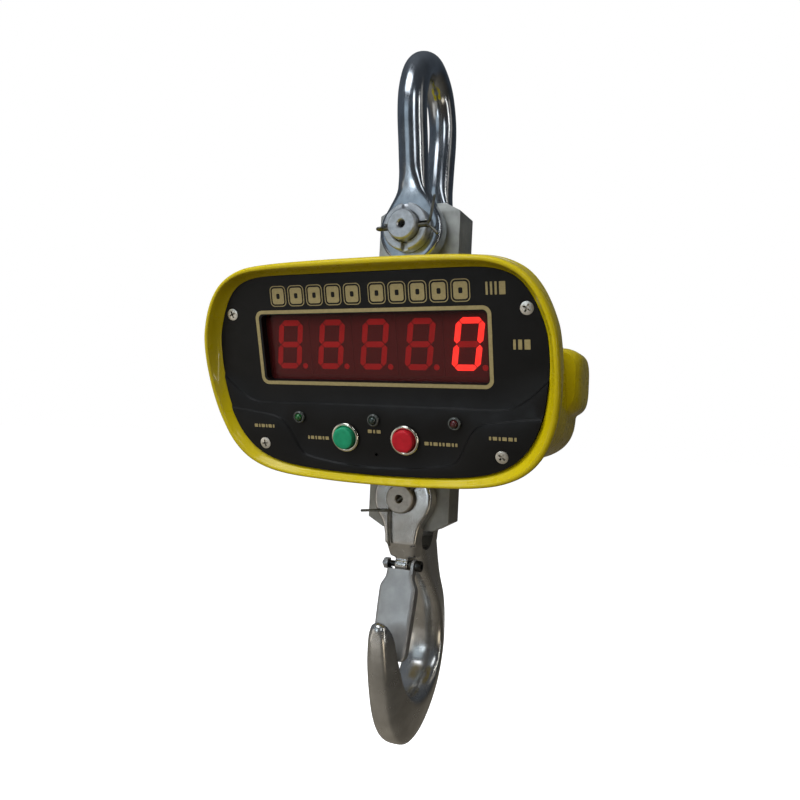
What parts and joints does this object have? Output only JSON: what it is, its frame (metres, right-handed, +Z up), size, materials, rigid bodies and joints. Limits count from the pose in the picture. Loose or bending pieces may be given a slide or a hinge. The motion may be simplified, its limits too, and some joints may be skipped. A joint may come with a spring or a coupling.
{
  "type": "hanging crane scale",
  "caption": "Hanging crane scale: bow shackle on a flat load cell, tilted yellow case with a lit digit display and push buttons, and a clevis hook with a sprung latch.",
  "frame": {"origin": "bearing point inside the crown of the shackle, where the scale is hung up", "axes": "+Z up along the load line, -Y out of the display towards the reader, +X to the right of the display"},
  "size_m": [0.2268, 0.1532, 0.4685],
  "materials": {
    "yellow": "mustard yellow gloss paint",
    "chrome": "polished chrome plate",
    "zinc": "bright zinc plate, fine grain",
    "steel": "satin steel",
    "screw": "bright plated steel",
    "panel_black": "black moulded plastic, semi matt",
    "rubber": "black rubber",
    "lens": "smoked red clear plastic",
    "digit": "dark plastic display module",
    "board": "green circuit board",
    "clear": "clear plastic lamp and holder",
    "cap_green": "green plastic",
    "cap_red": "red plastic",
    "battery": "blue sleeved battery pack"
  },
  "bodies": {
    "shackle": {"shackle_bow": "chrome", "shackle_pin": "zinc", "castle_nut": "zinc", "shackle_cotter": "steel"},
    "hook": {"hook": "chrome", "hook_pin": "zinc", "hook_cotter": "steel", "latch_bolt": "steel", "latch_nut": "zinc", "latch_spring": "steel"},
    "latch": {"hook_latch": "steel"},
    "button_green": {"button_cap_green": "cap_green"},
    "button_red": {"button_cap_red": "cap_red"},
    "scale_body": {"front_case": "yellow", "rear_case": "yellow", "battery_cover": "yellow", "button_bezel_green": "chrome", "button_bezel_red": "chrome", "gauge_cover_front": "zinc", "gauge_cover_rear": "zinc", "case_bolt_upper": "zinc", "case_bolt_lower": "zinc", "load_cell": "steel", "charge_socket": "steel", "panel_screw_1": "screw", "panel_screw_2": "screw", "panel_screw_3": "screw", "panel_screw_4": "screw", "case_screw_1": "screw", "case_screw_2": "screw", "case_screw_3": "screw", "case_screw_4": "screw", "cover_screw_left": "screw", "cover_screw_right": "screw", "front_panel": "panel_black", "switch_body_green": "panel_black", "switch_body_red": "panel_black", "buzzer": "panel_black", "panel_gasket": "rubber", "slot_seal_top": "rubber", "slot_seal_bottom": "rubber", "socket_cap": "rubber", "display_window": "lens", "led_digit_1": "digit", "led_digit_2": "digit", "led_digit_3": "digit", "led_digit_4": "digit", "led_digit_5": "digit", "display_board": "board", "main_board": "board", "lamp_holder_left": "clear", "lamp_left": "clear", "lamp_holder_middle": "clear", "lamp_middle": "clear", "lamp_holder_right": "clear", "lamp_right": "clear", "battery_pack": "battery"}
  },
  "joints": [
    {"name": "shackle_swing", "type": "hinge", "parent": "shackle", "child": "scale_body", "pos_m": [0.00289, 0.0005, -0.11049], "axis": [0, 1, 0], "range_deg": [-90, 90]},
    {"name": "hook_swing", "type": "hinge", "parent": "scale_body", "child": "hook", "pos_m": [0.00289, 0.0005, -0.28649], "axis": [0, 1, 0], "range_deg": [-34, 34]},
    {"name": "latch_turn", "type": "hinge", "parent": "hook", "child": "latch", "pos_m": [0.00289, -0.013, -0.33049], "axis": [1, 0, 0], "range_deg": [0, 45], "stiffness_Nm_per_rad": 0.02, "springref_deg": -28.65},
    {"name": "press_green", "type": "slide", "parent": "scale_body", "child": "button_green", "axis": [0, 0.9608, 0.2773], "range_m": [0, 0.0025], "stiffness_N_per_m": 300, "springref_m": -0.002},
    {"name": "press_red", "type": "slide", "parent": "scale_body", "child": "button_red", "axis": [0, 0.9608, 0.2773], "range_m": [0, 0.0025], "stiffness_N_per_m": 300, "springref_m": -0.002}
  ]
}
